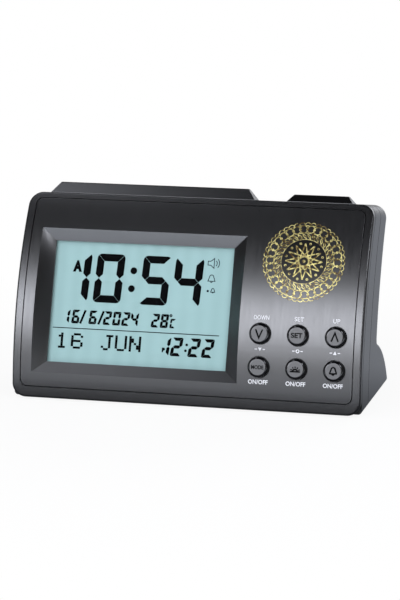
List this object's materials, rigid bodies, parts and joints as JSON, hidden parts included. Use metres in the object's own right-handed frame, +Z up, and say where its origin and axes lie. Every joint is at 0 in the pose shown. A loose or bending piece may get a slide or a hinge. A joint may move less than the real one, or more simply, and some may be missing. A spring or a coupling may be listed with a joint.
{
  "type": "azan clock",
  "caption": "Battery desk clock with a curved leaning front, a large recessed LCD, round function keys, push bars on top and a hinged battery door in the rear foot.",
  "frame": {"origin": "on the table under the middle of the clock, at the centre of its bounding box's bottom", "axes": "+X to the right of someone reading the clock, +Y from the face to the back, +Z up"},
  "size_m": [0.18, 0.0817, 0.1047],
  "materials": {
    "case_black": "semi-gloss moulded ABS, near black",
    "fascia_black": "fine satin ABS with a soft sheen",
    "lens_clear": "clear polished acrylic",
    "foot_rubber": "matt rubber",
    "screw_steel": "zinc-plated steel",
    "key_black": "gloss moulded ABS",
    "bar_black": "semi-gloss moulded ABS",
    "lcd_glass": "reflective twisted-nematic cell, pale teal",
    "inner_white": "natural white ABS",
    "guide_clear": "frosted acrylic",
    "lamp_yellow": "phosphor lamp in clear epoxy",
    "strip_rubber": "zebra strip of silicone rubber",
    "board_green": "FR4 board with green solder mask",
    "chip_epoxy": "black epoxy",
    "crystal_can": "drawn steel can",
    "capacitor_sleeve": "dark blue shrink sleeve",
    "switch_black": "moulded nylon",
    "speaker_steel": "pressed, plated steel",
    "speaker_paper": "paper cone",
    "speaker_ferrite": "ferrite and steel cup",
    "gasket_foam": "foam ring",
    "lead_sleeve": "red PVC sleeve on stranded wire",
    "contact_nickel": "nickel-plated spring steel"
  },
  "bodies": {
    "housing": {"front_bezel": "case_black", "fascia_panel": "fascia_black", "display_window": "lens_clear", "mid_case": "case_black", "rear_case": "case_black", "rubber_feet": "foot_rubber", "case_screws": "screw_steel", "lcd_cell": "lcd_glass", "display_holder": "inner_white", "light_guide": "guide_clear", "backlight_lamp": "lamp_yellow", "contact_strip": "strip_rubber", "main_board": "board_green", "controller_chip": "chip_epoxy", "quartz_crystal": "crystal_can", "capacitors": "capacitor_sleeve", "temperature_sensor": "chip_epoxy", "board_screws": "screw_steel", "key_board": "board_green", "key_switches": "switch_black", "key_board_screws": "screw_steel", "bar_board": "board_green", "bar_switches": "switch_black", "bar_board_screws": "screw_steel", "speaker_frame": "speaker_steel", "speaker_cone": "speaker_paper", "speaker_magnet": "speaker_ferrite", "speaker_gasket": "gasket_foam", "speaker_screws": "screw_steel", "battery_spring": "contact_nickel", "battery_plate": "contact_nickel", "key_leads": "lead_sleeve", "bar_leads": "lead_sleeve", "speaker_leads": "lead_sleeve"},
    "battery_door": {"battery_door": "case_black"},
    "snooze_bar": {"snooze_bar": "bar_black"},
    "stop_bar": {"stop_bar": "bar_black"},
    "down_key": {"down_key": "key_black"},
    "set_key": {"set_key": "key_black"},
    "up_key": {"up_key": "key_black"},
    "mode_key": {"mode_key": "key_black"},
    "light_key": {"light_key": "key_black"},
    "alarm_key": {"alarm_key": "key_black"}
  },
  "joints": [
    {"name": "battery_door_hinge", "type": "hinge", "parent": "housing", "child": "battery_door", "pos_m": [0, 0.0344, 0.00972], "axis": [-1, 0, 0], "range_deg": [0, 100]},
    {"name": "down_key_press", "type": "slide", "parent": "housing", "child": "down_key", "axis": [0, 0.9789, -0.2041], "range_m": [0, 0.0008], "stiffness_N_per_m": 1200, "springref_m": -0.0003},
    {"name": "set_key_press", "type": "slide", "parent": "housing", "child": "set_key", "axis": [0, 0.9789, -0.2041], "range_m": [0, 0.0008], "stiffness_N_per_m": 1200, "springref_m": -0.0003},
    {"name": "up_key_press", "type": "slide", "parent": "housing", "child": "up_key", "axis": [0, 0.9789, -0.2041], "range_m": [0, 0.0008], "stiffness_N_per_m": 1200, "springref_m": -0.0003},
    {"name": "mode_key_press", "type": "slide", "parent": "housing", "child": "mode_key", "axis": [0, 0.9789, -0.2041], "range_m": [0, 0.0008], "stiffness_N_per_m": 1200, "springref_m": -0.0003},
    {"name": "light_key_press", "type": "slide", "parent": "housing", "child": "light_key", "axis": [0, 0.9789, -0.2041], "range_m": [0, 0.0008], "stiffness_N_per_m": 1200, "springref_m": -0.0003},
    {"name": "alarm_key_press", "type": "slide", "parent": "housing", "child": "alarm_key", "axis": [0, 0.9789, -0.2041], "range_m": [0, 0.0008], "stiffness_N_per_m": 1200, "springref_m": -0.0003},
    {"name": "snooze_bar_press", "type": "slide", "parent": "housing", "child": "snooze_bar", "axis": [0, -0.1651, -0.9863], "range_m": [0, 0.0012], "stiffness_N_per_m": 1200, "springref_m": -0.0003},
    {"name": "stop_bar_press", "type": "slide", "parent": "housing", "child": "stop_bar", "axis": [0, -0.1651, -0.9863], "range_m": [0, 0.0012], "stiffness_N_per_m": 1200, "springref_m": -0.0003}
  ]
}
